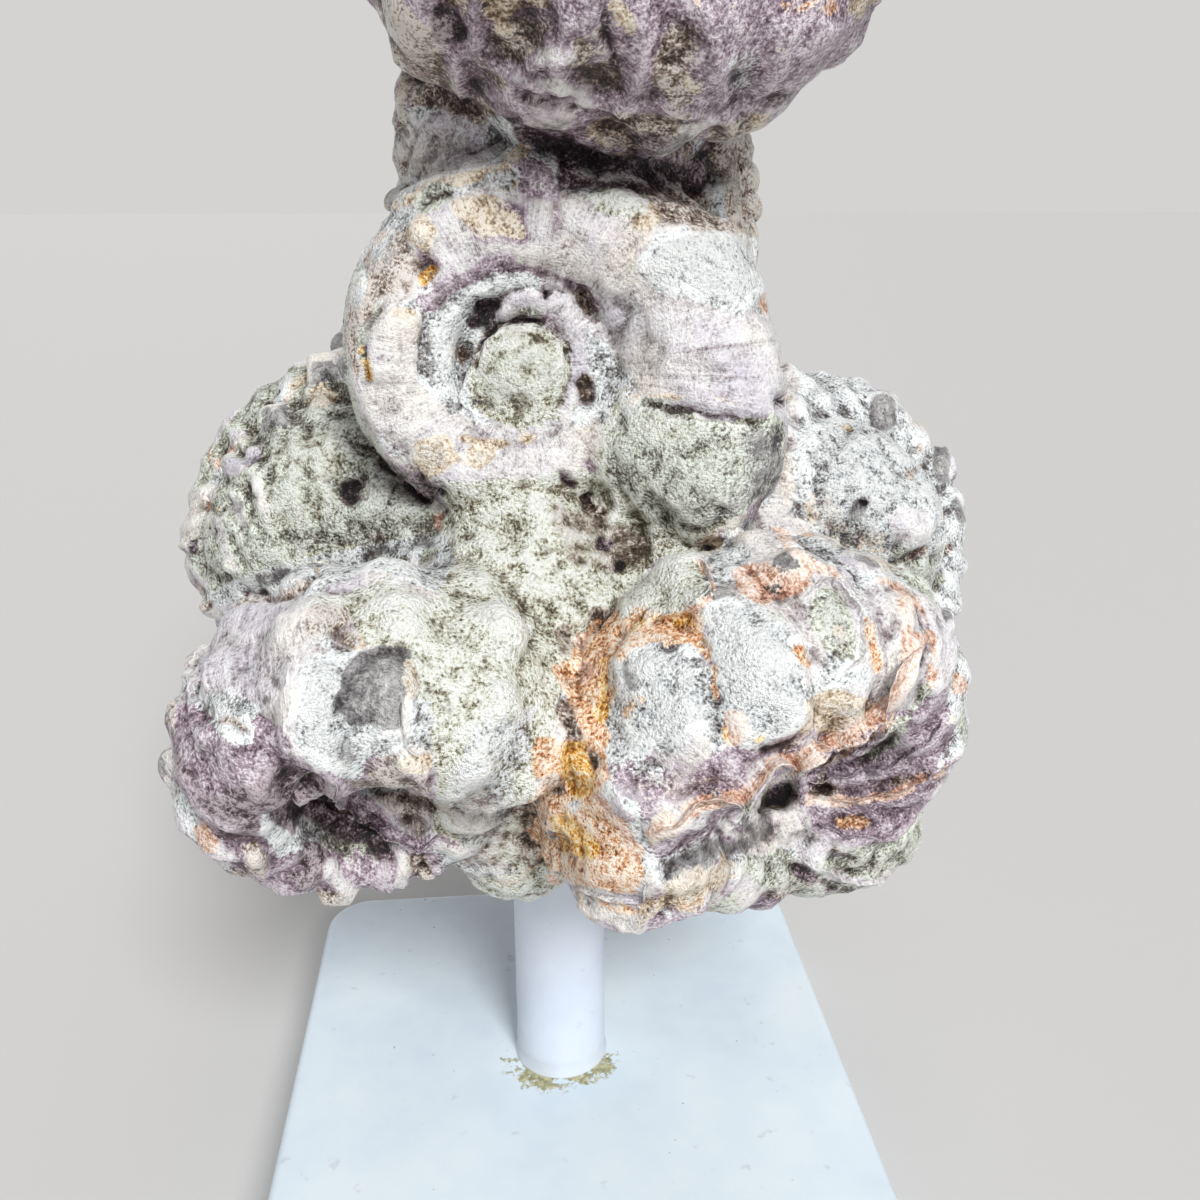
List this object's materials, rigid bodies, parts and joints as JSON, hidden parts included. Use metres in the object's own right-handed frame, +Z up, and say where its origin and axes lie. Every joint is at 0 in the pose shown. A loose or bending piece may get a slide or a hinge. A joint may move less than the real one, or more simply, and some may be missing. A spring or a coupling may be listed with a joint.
{
  "type": "fossil ammonite cluster",
  "caption": "Natural cluster of knobbly nacreous ammonites in pale sandstone, standing on a white painted post set in a square plate.",
  "frame": {"origin": "middle of the base plate's underside", "axes": "+Z up along the post; +Y away from the side that the large face-on shell looks to; +X to that viewer's right"},
  "size_m": [0.1242, 0.1147, 0.2363],
  "materials": {
    "fossil": "speckled sandstone with pearly shell",
    "painted_post": "white satin paint",
    "painted_plate": "white satin paint"
  },
  "bodies": {
    "root": {"fossil_cluster": "fossil", "post": "painted_post", "base_plate": "painted_plate"}
  },
  "joints": []
}
